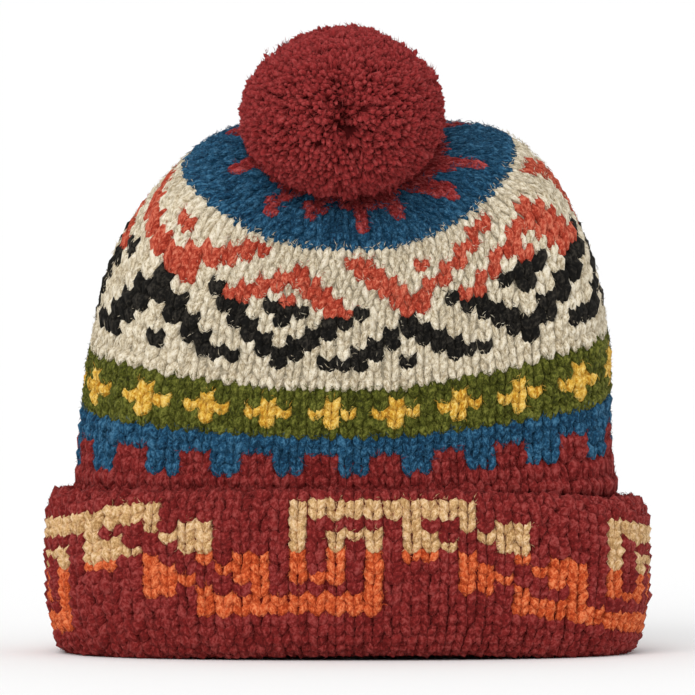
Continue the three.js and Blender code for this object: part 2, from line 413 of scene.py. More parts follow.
def rounded(values):
    """A sine or cosine for a ring that is a little squarer than an ellipse."""
    return np.sign(values) * np.abs(values) ** (2 / RING_SQUARENESS)


def eased(share):
    """A soft step from 0 to 1."""
    share = np.clip(share, 0, 1)
    return share * share * (3 - 2 * share)


def off_front(share):
    """A share of the way round, counted from the front: below 0 on the left and above 0 on the right."""
    return (share + 0.5) % 1 - 0.5


def smooth_table(table, places):
    """A table's columns at any place, with the mean of the neighbouring slopes at each line."""
    table = np.array(table, float)
    knots, values = table[:, 0], table[:, 1:]
    slopes = np.diff(values, axis=0) / np.diff(knots)[:, None]
    tangents = np.zeros_like(values)
    tangents[1:-1] = (slopes[:-1] + slopes[1:]) / 2
    tangents[0], tangents[-1] = slopes[0], slopes[-1]
    below = np.clip(np.searchsorted(knots, places, side="right") - 1, 0, len(knots) - 2)
    span = (knots[below + 1] - knots[below])[:, None]
    t = (places - knots[below])[:, None] / span
    start_share = 2 * t ** 3 - 3 * t ** 2 + 1
    start_slope = (t ** 3 - 2 * t ** 2 + t) * span
    end_share = 3 * t ** 2 - 2 * t ** 3
    end_slope = (t ** 3 - t ** 2) * span
    start = start_share * values[below] + start_slope * tangents[below]
    end = end_share * values[below + 1] + end_slope * tangents[below + 1]
    return start + end


# Faces of the knitting
ANGLES = np.linspace(0, 2 * np.pi, RING_POINTS, endpoint=False)


def crown_rings(rows):
    """Rings of points on the crown's outer face, from the front round by the right."""
    columns = smooth_table(CROWN_SECTIONS, rows)[:, :, None]
    half_width, centre_x, side_z, front_y, front_z, back_y, back_z = np.moveaxis(columns, 1, 0)
    forward = np.cos(ANGLES)
    x = centre_x + half_width * rounded(np.sin(ANGLES))
    y = (front_y + back_y) / 2 + (front_y - back_y) / 2 * rounded(forward)
    z = side_z + ((front_z + back_z) / 2 - side_z) * forward ** 2 + (front_z - back_z) / 2 * forward
    return np.stack((x, y, z), axis=-1)


edge_ring = crown_rings(np.array([LOWEST_ROW]))[0]
edge_along = np.roll(edge_ring, -1, axis=0) - np.roll(edge_ring, 1, axis=0)
edge_outward = unit(np.cross(edge_along, (0, 0, 1)))

# The hat is moved so that its cuff stands where the frame's cuff stands
cuff_low, cuff_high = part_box("cuff")
cuff_reach = max(out for out, _ in CUFF_PROFILE)
cuff_outline = edge_ring + cuff_reach * edge_outward
outline_middle = (cuff_outline.min(axis=0) + cuff_outline.max(axis=0)) / 2
standing_shift = np.array((
    (cuff_low.x + cuff_high.x) / 2 / MM - outline_middle[0],
    (cuff_low.y + cuff_high.y) / 2 / MM - outline_middle[1],
    0,
))


def cuff_rings(places):
    """Rings of points on the cuff, at places counted in courses along its profile."""
    profile = np.array(CUFF_PROFILE, float)
    lengths = np.hypot(np.diff(profile[:, 0]), np.diff(profile[:, 1]) * CUFF_HEIGHT)
    along = np.concatenate(([0], np.cumsum(lengths)))
    foot_share = FRET_FOOT_Z / CUFF_HEIGHT
    foot_along = np.interp(foot_share, profile[CUFF_OUTER_LINES, 1], along[CUFF_OUTER_LINES])
    reached = places * CUFF_ROW + foot_along
    out = np.interp(reached, along, profile[:, 0])[:, None, None]
    height = np.interp(reached, along, profile[:, 1])[:, None]
    off_middle = ANGLES - ARCH_MIDDLE
    from_middle = np.abs(np.arctan2(np.sin(off_middle), np.cos(off_middle)))
    foot = ARCH_RISE * eased(1 - from_middle / ARCH_HALF_ANGLE)
    towards_front = np.clip(np.cos(ANGLES), 0, 1)
    towards_right = np.clip(np.sin(ANGLES), 0, 1)
    top = CUFF_HEIGHT + CUFF_FRONT_RISE * towards_front ** 2 - CUFF_RIGHT_DROP * towards_right ** 2
    rings = edge_ring + out * edge_outward
    rings[:, :, 2] = foot + (top - foot) * height
    return rings


class Face:
    """A face of the knitting, looked up by course and by share of the way round from the front."""

    COLUMNS = 480
    STEP = 0.25
    END_MARGIN = 0.001

    def __init__(self, first, last, rings_at, stretch_courses):
        self.first = first
        self.stretch_courses = stretch_courses
        self.rows = np.arange(first, last + self.STEP / 2, self.STEP)
        self.points = np.array([self.evened(ring) for ring in rings_at(self.rows)]) + standing_shift
        along = np.roll(self.points, -1, axis=1) - np.roll(self.points, 1, axis=1)
        up = np.gradient(self.points, axis=0)
        self.normals = unit(np.cross(along, up) + TINY)
        self.girths = np.linalg.norm(along, axis=2).sum(axis=1) / 2

    def evened(self, ring):
        """The same ring with its points at even distances."""
        closed = np.vstack((ring, ring[:1]))
        lengths = np.concatenate(([0], np.cumsum(np.linalg.norm(np.diff(closed, axis=0), axis=1))))
        wanted = np.linspace(0, lengths[-1], self.COLUMNS, endpoint=False)
        return np.stack([np.interp(wanted, lengths, closed[:, axis]) for axis in range(3)], axis=1)

    def blend(self, grid, rows, shares):
        """A grid's values between its own rows and columns."""
        place = np.clip((rows - self.first) / self.STEP, 0, len(self.rows) - 1 - self.END_MARGIN)
        low = place.astype(int)
        t = (place - low)[..., None]
        turn = np.mod(shares, 1) * self.COLUMNS
        left = turn.astype(int) % self.COLUMNS
        right = (left + 1) % self.COLUMNS
        s = (turn - np.floor(turn))[..., None]
        below = grid[low, left] * (1 - s) + grid[low, right] * s
        above = grid[low + 1, left] * (1 - s) + grid[low + 1, right] * s
        return below * (1 - t) + above * t

    def at(self, rows, shares, lift):
        """Points that stand off the face by a lift, and the face's normals there."""
        normals = unit(self.blend(self.normals, rows, shares))
        return self.blend(self.points, rows, shares) + np.asarray(lift)[..., None] * normals, normals

    def girth(self, rows):
        return np.interp(rows, self.rows, self.girths)

    def stretched(self, rows, shares):
        """Shares of the way round, moved by the stretch at the hat's sides."""
        sides = off_front(shares)
        strength = np.interp(rows, *np.array(self.stretch_courses).T)
        return sides + strength * np.sign(sides) * np.interp(np.abs(sides), *np.array(SIDE_STRETCH).T)


crown_face = Face(LOWEST_ROW, EYELET_ROW, crown_rings, STRETCH_COURSES)
cuff_first = CUFF_LOWEST_COURSE - CUFF_SPARE_BELOW
cuff_last = CUFF_HIGHEST_COURSE + CUFF_SPARE_ABOVE
cuff_face = Face(cuff_first, cuff_last, cuff_rings, ((0, CUFF_STRETCH),))


class Meshwork:
    """Gathers closed pieces of mesh as arrays, and makes one object of them."""

    def __init__(self):
        self.points, self.triangles, self.uvs = [], [], []
        self.count = 0

    def add(self, points, triangles, uvs):
        self.points.append(points.reshape(-1, 3))
        self.triangles.append(triangles.reshape(-1, 3) + self.count)
        self.uvs.append(uvs.reshape(-1, 2))
        self.count += self.points[-1].shape[0]

    def add_strands(self, paths, ups, radii, sides, lumps=0):
        """Closed tapering tubes, with one point at each end and rings of corners between."""
        count, stations = paths.shape[:2]
        tangents = np.gradient(paths, axis=1)
        across = unit(np.cross(tangents, ups))
        lift = unit(np.cross(across, tangents))
        turns = np.arange(sides) * 2 * np.pi / sides
        sideways = np.cos(turns)[:, None] * across[:, 1:-1, None]
        upward = np.sin(turns)[:, None] * lift[:, 1:-1, None]
        spokes = sideways + upward
        swells = 1 + lumps * rng.uniform(-1, 1, spokes.shape[:3])
        rings = paths[:, 1:-1, None] + (radii[:, 1:-1, None] * swells)[..., None] * spokes
        points = np.concatenate((paths[:, :1], rings.reshape(count, -1, 3), paths[:, -1:]), axis=1)
        triangles, shares = strand_pattern(stations - 2, sides)
        offsets = np.arange(count)[:, None, None] * points.shape[1]
        tiles = rng.integers(0, ATLAS_TILES, (count, 1, 1, 2))
        uvs = (tiles + TILE_MARGIN + (1 - 2 * TILE_MARGIN) * shares) / ATLAS_TILES
        self.add(points, triangles + offsets, uvs)

    def make(self, name, material):
        mesh = bpy.data.meshes.new(name)
        points = np.concatenate(self.points)
        triangles = np.concatenate(self.triangles)
        points[:, 2] = np.maximum(points[:, 2], FLOOR_GAP)
        mesh.vertices.add(len(points))
        mesh.vertices.foreach_set("co", (points * MM).astype(np.float32).ravel())
        mesh.loops.add(triangles.size)
        mesh.loops.foreach_set("vertex_index", triangles.astype(np.int32).ravel())
        mesh.polygons.add(len(triangles))
        mesh.polygons.foreach_set("loop_start", np.arange(0, triangles.size, 3, dtype=np.int32))
        mesh.polygons.foreach_set("use_smooth", np.ones(len(triangles), dtype=bool))
        layer = mesh.uv_layers.new(name="OFBake")
        layer.data.foreach_set("uv", np.concatenate(self.uvs).astype(np.float32).ravel())
        mesh.update(calc_edges=True)
        mesh.validate()
        mesh.materials.append(material)
        piece = bpy.data.objects.new(name, mesh)
        bpy.context.collection.objects.link(piece)
        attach(piece, "root")
        return piece


def strand_pattern(rings, sides):
    """Triangles of one strand, and where each corner lies round and along it."""
    triangles, shares = [], []
    last = 1 + rings * sides
    for side in range(sides):
        beside = (side + 1) % sides
        left, right = side / sides, (side + 1) / sides
        first_share, last_share = 1 / (rings + 1), rings / (rings + 1)
        triangles.append((0, 1 + side, 1 + beside))
        shares.append(((left, 0), (left, first_share), (right, first_share)))
        for ring in range(rings - 1):
            low, high = 1 + ring * sides, 1 + (ring + 1) * sides
            below, above = (ring + 1) / (rings + 1), (ring + 2) / (rings + 1)
            triangles.append((low + side, high + side, high + beside))
            shares.append(((left, below), (left, above), (right, above)))
            triangles.append((low + side, high + beside, low + beside))
            shares.append(((left, below), (right, above), (right, below)))
        top = 1 + (rings - 1) * sides
        triangles.append((last, top + beside, top + side))
        shares.append(((left, 1), (right, last_share), (left, last_share)))
    return np.array(triangles), np.array(shares)


# Materials, all drawn from each strand's own place on the map


def new_material(name):
    material = bpy.data.materials.new(name)
    material.use_nodes = True
    tree = material.node_tree
    shader = tree.nodes["Principled BSDF"]
    return material, tree, shader


def add_node(tree, kind, **values):
    node = tree.nodes.new(kind)
    for key, value in values.items():
        if key in node.inputs:
            node.inputs[key].default_value = value
        else:
            setattr(node, key, value)
    return node


def mapped_noise(tree, scale, detail, roughness=NOISE_ROUGHNESS):
    place = add_node(tree, "ShaderNodeUVMap", uv_map="OFBake")
    mapping = add_node(tree, "ShaderNodeMapping")
    mapping.inputs["Scale"].default_value = scale
    noise = add_node(tree, "ShaderNodeTexNoise", Scale=1, Detail=detail, Roughness=roughness)
    tree.links.new(place.outputs["UV"], mapping.inputs["Vector"])
    tree.links.new(mapping.outputs["Vector"], noise.inputs["Vector"])
    return noise.outputs["Fac"]


def ramp(tree, source, stops):
    node = add_node(tree, "ShaderNodeValToRGB")
    while len(node.color_ramp.elements) < len(stops):
        node.color_ramp.elements.new(0.5)
    for element, (position, colour) in zip(node.color_ramp.elements, stops):
        element.position = position
        element.color = linear(colour)
    tree.links.new(source, node.inputs["Fac"])
    return node.outputs["Color"]


def add_surface(tree, shader, noise, roughness, bump):
    """A noise sets the roughness between its least and its most, and raises the surface."""
    rough = add_node(tree, "ShaderNodeMapRange")
    rough.inputs["To Min"].default_value, rough.inputs["To Max"].default_value = roughness
    tree.links.new(noise, rough.inputs["Value"])
    tree.links.new(rough.outputs["Result"], shader.inputs["Roughness"])
    strength, distance = bump
    raised = add_node(tree, "ShaderNodeBump", Strength=strength, Distance=distance)
    tree.links.new(noise, raised.inputs["Height"])
    tree.links.new(raised.outputs["Normal"], shader.inputs["Normal"])


def yarn_material(name, colours, scales):
    """Wool: streaks of fibres, a slower change of tone, and a dull surface with a soft sheen."""
    strand_scale, tone_scale = scales
    material, tree, shader = new_material(name)
    streaks = mapped_noise(tree, strand_scale, STREAK_DETAIL, STREAK_ROUGHNESS)
    tone = mapped_noise(tree, tone_scale, TONE_DETAIL)
    mixed = add_node(tree, "ShaderNodeMix", data_type="FLOAT")
    mixed.inputs[MIX_SHARE].default_value = TONE_SHARE
    for source, socket in zip((streaks, tone), MIX_NUMBERS):
        tree.links.new(source, mixed.inputs[socket])
    dark, middle, light = colours
    stops = ((0.5 - RAMP_SPREAD, dark), (0.5, middle), (0.5 + RAMP_SPREAD, light))
    colour = ramp(tree, mixed.outputs[0], stops)
    tree.links.new(colour, shader.inputs["Base Color"])
    add_surface(tree, shader, streaks, YARN_ROUGHNESS, YARN_BUMP)
    shader.inputs["Specular IOR Level"].default_value = 0.15
    shader.inputs["Sheen Weight"].default_value = 0.35
    shader.inputs["Sheen Roughness"].default_value = 0.6
    shader.inputs["Sheen Tint"].default_value = linear(light)
    return material


def band_material(name, bands):
    """Fabric behind the stitches: a colour for each band of courses, with flecks of fibre."""
    material, tree, shader = new_material(name)
    place = add_node(tree, "ShaderNodeUVMap", uv_map="OFBake")
    split = add_node(tree, "ShaderNodeSeparateXYZ")
    tree.links.new(place.outputs["UV"], split.inputs["Vector"])
    bands_colour = ramp(tree, split.outputs["Y"], bands)
    fibres = mapped_noise(tree, BACKING_SCALE, STREAK_DETAIL)
    flecks = ramp(tree, fibres, BACKING_FLECKS)
    mixed = add_node(tree, "ShaderNodeMix", data_type="RGBA", blend_type="MULTIPLY")
    mixed.inputs[MIX_SHARE].default_value = FLECK_SHARE
    for source, socket in zip((bands_colour, flecks), MIX_COLOURS):
        tree.links.new(source, mixed.inputs[socket])
    tree.links.new(mixed.outputs[MIX_COLOUR_OUT], shader.inputs["Base Color"])
    add_surface(tree, shader, fibres, BACKING_ROUGHNESS, BACKING_BUMP)
    shader.inputs["Specular IOR Level"].default_value = 0.1
    return material


def darker(colour, share):
    return tuple(channel * share for channel in colour)


yarn_materials = {
    name: yarn_material(f"yarn_{name}", colours, STITCH_SCALES) for name, colours in YARNS.items()
}
fuzz_materials = {
    name: yarn_material(f"fuzz_{name}", colours, FUZZ_SCALES) for name, colours in YARNS.items()
}


# Charts: which yarn each stitch has, and where it lies
Stitch = namedtuple("Stitch", "row place count drift yarn")


def top_yarn(course, share, count):
    """The red of the very top starts lower at the sides than in front, and drips into the blue; this red is
    a brighter copy of the red yarn, painted light against the pompom's shadow.
    """
    towards_front = max(0, math.cos(2 * math.pi * share)) ** 2
    red_course = TOP_RED_SIDE_COURSE + (TOP_RED_FRONT_COURSE - TOP_RED_SIDE_COURSE) * towards_front
    if course >= red_course:
        return "painted_light_red"
    for place, first_course in DRIPS:
        apart = abs(off_front(share - place))
        half_width = DRIP_HALF_WIDTH + DRIP_WIDENING * (course - first_course)
        if course >= first_course and apart <= half_width / count:
            return "painted_light_red"
    return "blue"


def charted_yarn(chart, course, column):
    letters = chart[course]
    return LETTERS[letters[column % len(letters)]]


def body_yarn(course, column):
    if course < 0:
        return "red"
    if course < STARS_FIRST_COURSE:
        return charted_yarn(TEETH, course, column)
    if course < WAVES_FIRST_COURSE:
        return charted_yarn(STARS, course - STARS_FIRST_COURSE, column + STARS_SHIFT)
    return charted_yarn(WAVES, course - WAVES_FIRST_COURSE, column + WAVES_SHIFT)


def course_rise(course, share):
    """How far a course has risen there, between the charted courses and shares."""
    side = off_front(share)
    courses = np.array(list(COURSE_RISES))
    rise = 0
    for charted, rises in COURSE_RISES.items():
        weight = np.interp(course, courses, courses == charted)
        rise = rise + weight * np.interp(side, RISE_SHARES, rises)
    return rise


def body_stitches():
    """The crown's stitches: the charted courses, and above them the decreases of the top."""
    stitches = []
    for course in range(CROWN_FIRST_COURSE, TOP_FIRST_COURSE):
        count, next_count = np.interp((course, course + 1), *np.array(BODY_STITCHES).T)
        drift = next_count - count if course >= WAVES_FIRST_COURSE else 0
        lean = np.interp(course, *np.array(COLUMN_LEANS).T)
        half = math.ceil(count / 2)
        for column in range(-half, half):
            place = column + lean
            row = course + 0.5 + course_rise(course, crown_face.stretched(course, place / count))
            if row > FIRST_SEEN_ROW:
                stitches.append(Stitch(row, place, count, drift, body_yarn(course, column)))
    for step, count in enumerate(TOP_STITCHES):
        course = TOP_FIRST_COURSE + step
        for column in range(count):
            place = column + TOP_LEAN
            row = course + 0.5 + course_rise(course, place / count)
            stitches.append(Stitch(row, place, count, 0, top_yarn(course, place / count, count)))
    return stitches


def cuff_droop(share):
    """Towards the sides the courses of the cuff lie lower than at the front."""
    past_start = abs(off_front(share)) - CUFF_DROOP_START
    return CUFF_DROOP * eased(past_start / (CUFF_DROOP_END - CUFF_DROOP_START))


def cuff_stitches():
    stitches = []
    for course in range(CUFF_LOWEST_COURSE, CUFF_HIGHEST_COURSE):
        for column in range(CUFF_STITCHES):
            place = column - CUFF_FRONT_STITCH
            droop = cuff_droop(cuff_face.stretched(course, place / CUFF_STITCHES))
            yarn = charted_yarn(FRET, course, column) if 0 <= course < len(FRET) else "red"
            stitches.append(Stitch(course + 0.5 - droop, place, CUFF_STITCHES, 0, yarn))
    return stitches


# Stitches


def add_stitches(meshwork, face, stitches, thickness, unevenness):
    """Two legs to a stitch, which part upwards and overlap the stitches above and below."""
    rows, places, counts, drifts = np.array([stitch[:4] for stitch in stitches], float).T[..., None]
    left, right = (face.stretched(rows, (places + side) / counts) for side in (-0.5, 0.5))
    widths = face.girth(rows) * ((right - left) % 1)
    s = LEG_STATIONS[None, :]
    lift_s, lift_mm = np.array(LEG_LIFT).T
    for side in (-1, 1):
        shape = (len(stitches), 1)
        sway = rng.normal(0, LEG_SWAY * unevenness, shape)
        stray = rng.normal(0, LEG_STRAY * unevenness, shape)
        fat = 1 + rng.normal(0, LEG_FATNESS * unevenness, shape)
        swell = rng.normal(0, LEG_SWELL * unevenness, shape)
        across = side * (LEG_FOOT_SPREAD + LEG_SPREAD * s ** LEG_SPREAD_POWER) + sway
        climb = LEG_FOOT + LEG_LENGTH * s + stray
        shares = face.stretched(rows + climb, (places + across) / (counts + drifts * climb))
        scale = face.girth(rows) / counts / LIFT_WIDTH
        lift = np.interp(s, lift_s, lift_mm) * scale - STITCH_DEPTH + swell
        paths, normals = face.at(rows + climb, shares, lift)
        radii = thickness * widths * fat * np.sqrt(np.sin(np.pi * s))
        meshwork.add_strands(paths, normals, radii, LEG_SIDES, LEG_LUMPS)


def add_fibres(meshwork, points, normals, lengths, radius, slants):
    """Loose fibres: short bent hairs that leave a face at a slant."""
    count = len(points)
    stray = unit(rng.normal(0, 1, (count, 3)))
    along = unit(np.cross(normals, stray))
    bend = unit(np.cross(along, normals) + FIBRE_CURL * rng.normal(0, 1, (count, 3)))
    slant = rng.uniform(*slants, (count, 1))
    run = lengths[:, None] * (along * np.cos(slant) + normals * np.sin(slant))
    tips = points + run + FIBRE_BEND * lengths[:, None] * bend
    paths = np.stack((points, points + run / 2, tips), axis=1)
    ups = np.broadcast_to(stray[:, None], paths.shape)
    radii = np.full(paths.shape[:2], radius)
    meshwork.add_strands(paths, ups, radii, FIBRE_SIDES)


def add_stitch_fibres(meshwork, face, stitches, per_stitch):
    """Loose fibres, scattered over the stitches of one yarn."""
    roots = np.array([stitch[:3] for stitch in stitches], float)
    rows, places, counts = np.repeat(roots, per_stitch, axis=0).T
    rows = rows + rng.uniform(-0.5, 0.5, len(rows))
    shares = face.stretched(rows, (places + rng.uniform(-0.5, 0.5, len(rows))) / counts)
    points, normals = face.at(rows, shares, rng.uniform(*STITCH_FIBRE_LIFTS, len(rows)))
    lengths = rng.uniform(*STITCH_FIBRE_LENGTHS, len(rows))
    add_fibres(meshwork, points, normals, lengths, STITCH_FIBRE_RADIUS, STITCH_FIBRE_SLANTS)


knitting = (
    ("crown", crown_face, body_stitches(), FIRST_SEEN_ROW, EYELET_ROW),
    ("cuff", cuff_face, cuff_stitches(), CUFF_FIRST_SEEN_ROW, CUFF_LAST_SEEN_ROW),
)
for part, face, stitches, first_seen, last_seen in knitting:
    for yarn, (thickness, unevenness, per_stitch) in YARN_HABITS.items():
        chosen = [stitch for stitch in stitches if stitch.yarn == yarn]
        if not chosen:
            continue
        knit = Meshwork()
        add_stitches(knit, face, chosen, thickness, unevenness)
        knit_piece = knit.make(f"{part}_{yarn}_stitches", yarn_materials[yarn])
        fuzz = Meshwork()
        seen = [stitch for stitch in chosen if first_seen <= stitch.row <= last_seen]
        add_stitch_fibres(fuzz, face, seen, per_stitch)
        fuzz_piece = fuzz.make(f"{part}_{yarn}_fuzz", fuzz_materials[yarn])


# Walls behind the stitches


def add_band(meshwork, rings, shares_along):
    """A closed ring of quads: rings of points joined to their neighbours, and the last to the first."""
    ring_count, around = rings.shape[:2]
    ring = np.arange(ring_count)[:, None]
    place = np.arange(around)[None, :]
    above, beside = (ring + 1) % ring_count, (place + 1) % around
    corners = [low * around + side for low, side in
               ((ring, place), (ring, beside), (above, beside), (above, place))]
    a, b, c, d = np.broadcast_arrays(*corners)
    triangles = np.stack((np.stack((a, b, c), -1), np.stack((a, c, d), -1)), axis=2)
    left = np.broadcast_to(place / around, a.shape)
    right = np.broadcast_to((place + 1) / around, a.shape)
    low = np.broadcast_to(np.asarray(shares_along)[:, None], a.shape)
    high = np.broadcast_to(np.roll(shares_along, -1)[:, None], a.shape)
    corner_uvs = [np.stack(pair, -1) for pair in ((left, low), (right, low), (right, high), (left, high))]
    uv_a, uv_b, uv_c, uv_d = corner_uvs
    uvs = np.stack((np.stack((uv_a, uv_b, uv_c), 2), np.stack((uv_a, uv_c, uv_d), 2)), axis=2)
    meshwork.add(rings.reshape(-1, 3), triangles, uvs)


wall_shares = np.arange(WALL_COLUMNS) / WALL_COLUMNS


def purl_lift(rows, stitches):
    """Purl bumps stand out from the inner face, one row of them to a course."""
    across = PURL_MEAN + (1 - PURL_MEAN) * np.cos(2 * np.pi * wall_shares[None, :] * stitches)
    return PURL_LIFT * np.sin(np.pi * rows[:, None]) ** 2 * across


def course_share(course):
    """How far up the crown a course lies, from 0 at its lower edge to 1 at the eyelet."""
    return (course - LOWEST_ROW) / (EYELET_ROW - LOWEST_ROW)


def crown_wall():
    """The fabric behind the crown's stitches, from its lower edge up to the eyelet and back down inside."""
    outer_rows = np.arange(LOWEST_ROW, EYELET_ROW + ROW_MARGIN, 1)
    inner_rows = np.arange(EYELET_ROW, LOWEST_ROW - ROW_MARGIN, -0.5)
    outer_rises = course_rise(outer_rows[:, None], wall_shares[None, :])
    risen_rows = np.minimum(outer_rows[:, None] + outer_rises, EYELET_ROW)
    outer, _ = crown_face.at(risen_rows, wall_shares[None, :], np.full((1, 1), -BACKING_DEPTH))
    inner_lift = PURL_LIFT - purl_lift(inner_rows, INNER_STITCHES) - WALL
    inner, _ = crown_face.at(inner_rows[:, None], wall_shares[None, :], inner_lift)
    rows = np.concatenate((outer_rows, inner_rows))
    meshwork = Meshwork()
    add_band(meshwork, np.concatenate((outer, inner)), course_share(rows))
    return meshwork


def cuff_wall():
    """The fabric behind the cuff's stitches, round the fold and over the cuff's top."""
    outer_rows = np.arange(CUFF_LOWEST_COURSE - 1, CUFF_HIGHEST_COURSE + 1 + ROW_MARGIN, 0.5)
    outer, _ = cuff_face.at(outer_rows[:, None], wall_shares[None, :], np.full((1, 1), -BACKING_DEPTH))
    shares_along = (outer_rows - outer_rows[0]) / (outer_rows[-1] - outer_rows[0])
    meshwork = Meshwork()
    add_band(meshwork, outer, shares_along)
    return meshwork


def band_stops():
    """Two stops to a band, so that its colour is even and ends sharply."""
    firsts = [course_share(first) for _, first, _ in BACKING_BANDS]
    lasts = firsts[1:] + [1]
    stops = []
    for (yarn, _, painted_shade), first, last in zip(BACKING_BANDS, firsts, lasts):
        # Each band's yarn is darkened by its painted shade, which stands for the shade between the stitches
        colour = darker(YARNS[yarn][1], painted_shade)
        stops.append((first + BAND_EDGE, colour))
        stops.append((last - BAND_EDGE, colour))
    return stops


crown_backing = crown_wall().make("crown_wall", band_material("crown_backing", band_stops()))
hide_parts("crown")

# The cuff's backing is its red darkened as painted shade between the stitches
cuff_painted_shade_colour = darker(YARNS["red"][1], BACKING_PAINTED_SHADE)
cuff_material = band_material("cuff_backing", ((0, cuff_painted_shade_colour), (1, cuff_painted_shade_colour)))
cuff_backing = cuff_wall().make("cuff_wall", cuff_material)
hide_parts("cuff")

# Pompom: yarn ends that stand out from a core, with a parting where two halves were tied

eyelet_rows = np.full(EYELET_POINTS, EYELET_ROW - ROW_MARGIN)
eyelet_shares = np.arange(EYELET_POINTS) / EYELET_POINTS
eyelet_points, eyelet_normals = crown_face.at(eyelet_rows, eyelet_shares, np.zeros(EYELET_POINTS))
eyelet = eyelet_points.mean(axis=0)
eyelet_axis = unit(eyelet_normals.mean(axis=0))
axis = unit(eyelet_axis * (1 - POMPOM_UPRIGHTNESS) + np.array((0, 0, POMPOM_UPRIGHTNESS)))
pompom_right = unit(np.cross((0, 1, 0), axis))
pompom_far = np.cross(axis, pompom_right)
pompom_middle = eyelet + axis * (POMPOM_AXIAL_RADIUS - POMPOM_SINK) + (POMPOM_SIDE_SHIFT, 0, 0)
pompom_frame = np.stack((pompom_right, pompom_far, axis))

# Every second point of the crown's face is enough to measure from
crown_tree_points = crown_face.points[::2, ::2].reshape(-1, 3)
crown_tree_normals = crown_face.normals[::2, ::2].reshape(-1, 3)
crown_tree = kdtree.KDTree(len(crown_tree_points))
for index, point in enumerate(crown_tree_points):
    crown_tree.insert(Vector(point), index)
crown_tree.balance()


def above_crown(points):
    """How far each point stands off the crown's outer face."""
    heights = []
    for point in points:
        _, index, _ = crown_tree.find(Vector(point))
        heights.append(np.dot(point - crown_tree_points[index], crown_tree_normals[index]))
    return np.array(heights)


def ball_aims(count):
    """Ways out from a ball's middle, spread evenly by a spiral with the golden angle."""
    place = np.arange(count)
    axial = 1 - (2 * place + 1) / count
    turn = place * np.pi * (3 - np.sqrt(5))
    across = np.sqrt(1 - axial ** 2)
    return np.stack((across * np.cos(turn), across * np.sin(turn), axial), axis=1)


def pompom_reach(aims):
    """How far the trimmed ball reaches along each way, in the pompom's own axes."""
    below = aims[:, 2] < 0
    axial_radius = np.where(below, POMPOM_LOWER_AXIAL_RADIUS, POMPOM_AXIAL_RADIUS)
    roundness = np.where(below, POMPOM_LOWER_ROUNDNESS, POMPOM_ROUNDNESS)
    across = np.hypot(aims[:, 0], aims[:, 1]) / POMPOM_RADIUS
    axial = np.abs(aims[:, 2]) / axial_radius
    reach = (across ** roundness + axial ** roundness) ** (-1 / roundness)
    for way, share in POMPOM_CLIPPED:
        towards = np.clip(aims @ pompom_frame @ unit(np.array(way)), 0, 1)
        reach = reach * (1 - share * towards ** CLIP_SHARPNESS)
    return reach


def parting_depth(outward):
    """How deep the parting is at each yarn end, from 0 to 1, and the way that leads out of it."""
    corners = unit(np.array(PARTING))
    knots = np.arange(len(corners))
    steps = np.linspace(0, knots[-1], PARTING_STEPS)
    line = np.stack([np.interp(steps, knots, values) for values in corners.T], axis=1)
    apart = outward[:, None] - unit(line)[None]
    nearest = np.linalg.norm(apart, axis=2).argmin(axis=1)
    away = apart[np.arange(len(outward)), nearest]
    strength = np.interp(steps, knots, PARTING_STRENGTH)[nearest]
    return strength * np.exp(-(np.linalg.norm(away, axis=1) / PARTING_WIDTH) ** 2), away


def clump_lean(outward):
    """The yarn ends gather into soft clumps, and each leans towards the middle of its own."""
    middles = unit(ball_aims(CLUMPS) + rng.normal(0, CLUMP_SCATTER, (CLUMPS, 3))) @ pompom_frame
    nearest = (outward @ middles.T).argmax(axis=1)
    return CLUMP_PULL * POMPOM_RADIUS * (middles[nearest] - outward)


def pompom_tufts():
    """Cut yarn ends all over the ball, with their tips and the ways that they point."""
    aims = unit(ball_aims(TUFT_COUNT) + rng.normal(0, TUFT_SCATTER, (TUFT_COUNT, 3)))
    reach = pompom_reach(aims) * (TUFT_REACH + rng.normal(0, TUFT_REACH_SPREAD, TUFT_COUNT))
    outward = aims @ pompom_frame
    depth, away = parting_depth(outward)
    reach = reach * (1 - PARTING_DEPTH * depth)
    tips = pompom_middle + outward * reach[:, None]
    unparted = (depth < PARTING_BARE) | (rng.random(TUFT_COUNT) < PARTING_FILL)
    kept = (above_crown(tips) > TUFT_CLEARANCE) & unparted
    outward, reach = outward[kept], reach[kept]
    depth, away = depth[kept, None], away[kept]
    count = len(outward)
    lean = rng.normal(0, 1, (count, 3))
    lean -= (lean * outward).sum(axis=1, keepdims=True) * outward
    push = TUFT_LEAN * lean + clump_lean(outward) + PARTING_PUSH * depth * unit(away + TINY)
    stations, bends, fullness = np.array(TUFT_STATIONS, float).T
    paths = pompom_middle + outward[:, None] * (reach[:, None] * stations)[..., None]
    paths = paths + bends[None, :, None] * push[:, None]
    radii = TUFT_RADIUS * fullness * (1 + rng.normal(0, TUFT_RADIUS_SPREAD, (count, 1)))
    ups = np.repeat(unit(lean)[:, None], len(stations), axis=1)
    meshwork = Meshwork()
    meshwork.add_strands(paths, ups, radii, TUFT_SIDES, TUFT_LUMPS)
    return meshwork, paths[:, -1], outward


tufts, tuft_tips, tuft_outward = pompom_tufts()
tuft_material = yarn_material("pompom_yarn", POMPOM_COLOURS, TUFT_SCALES)
pompom_tufted = tufts.make("pompom_tufts", tuft_material)
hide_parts("pompom")

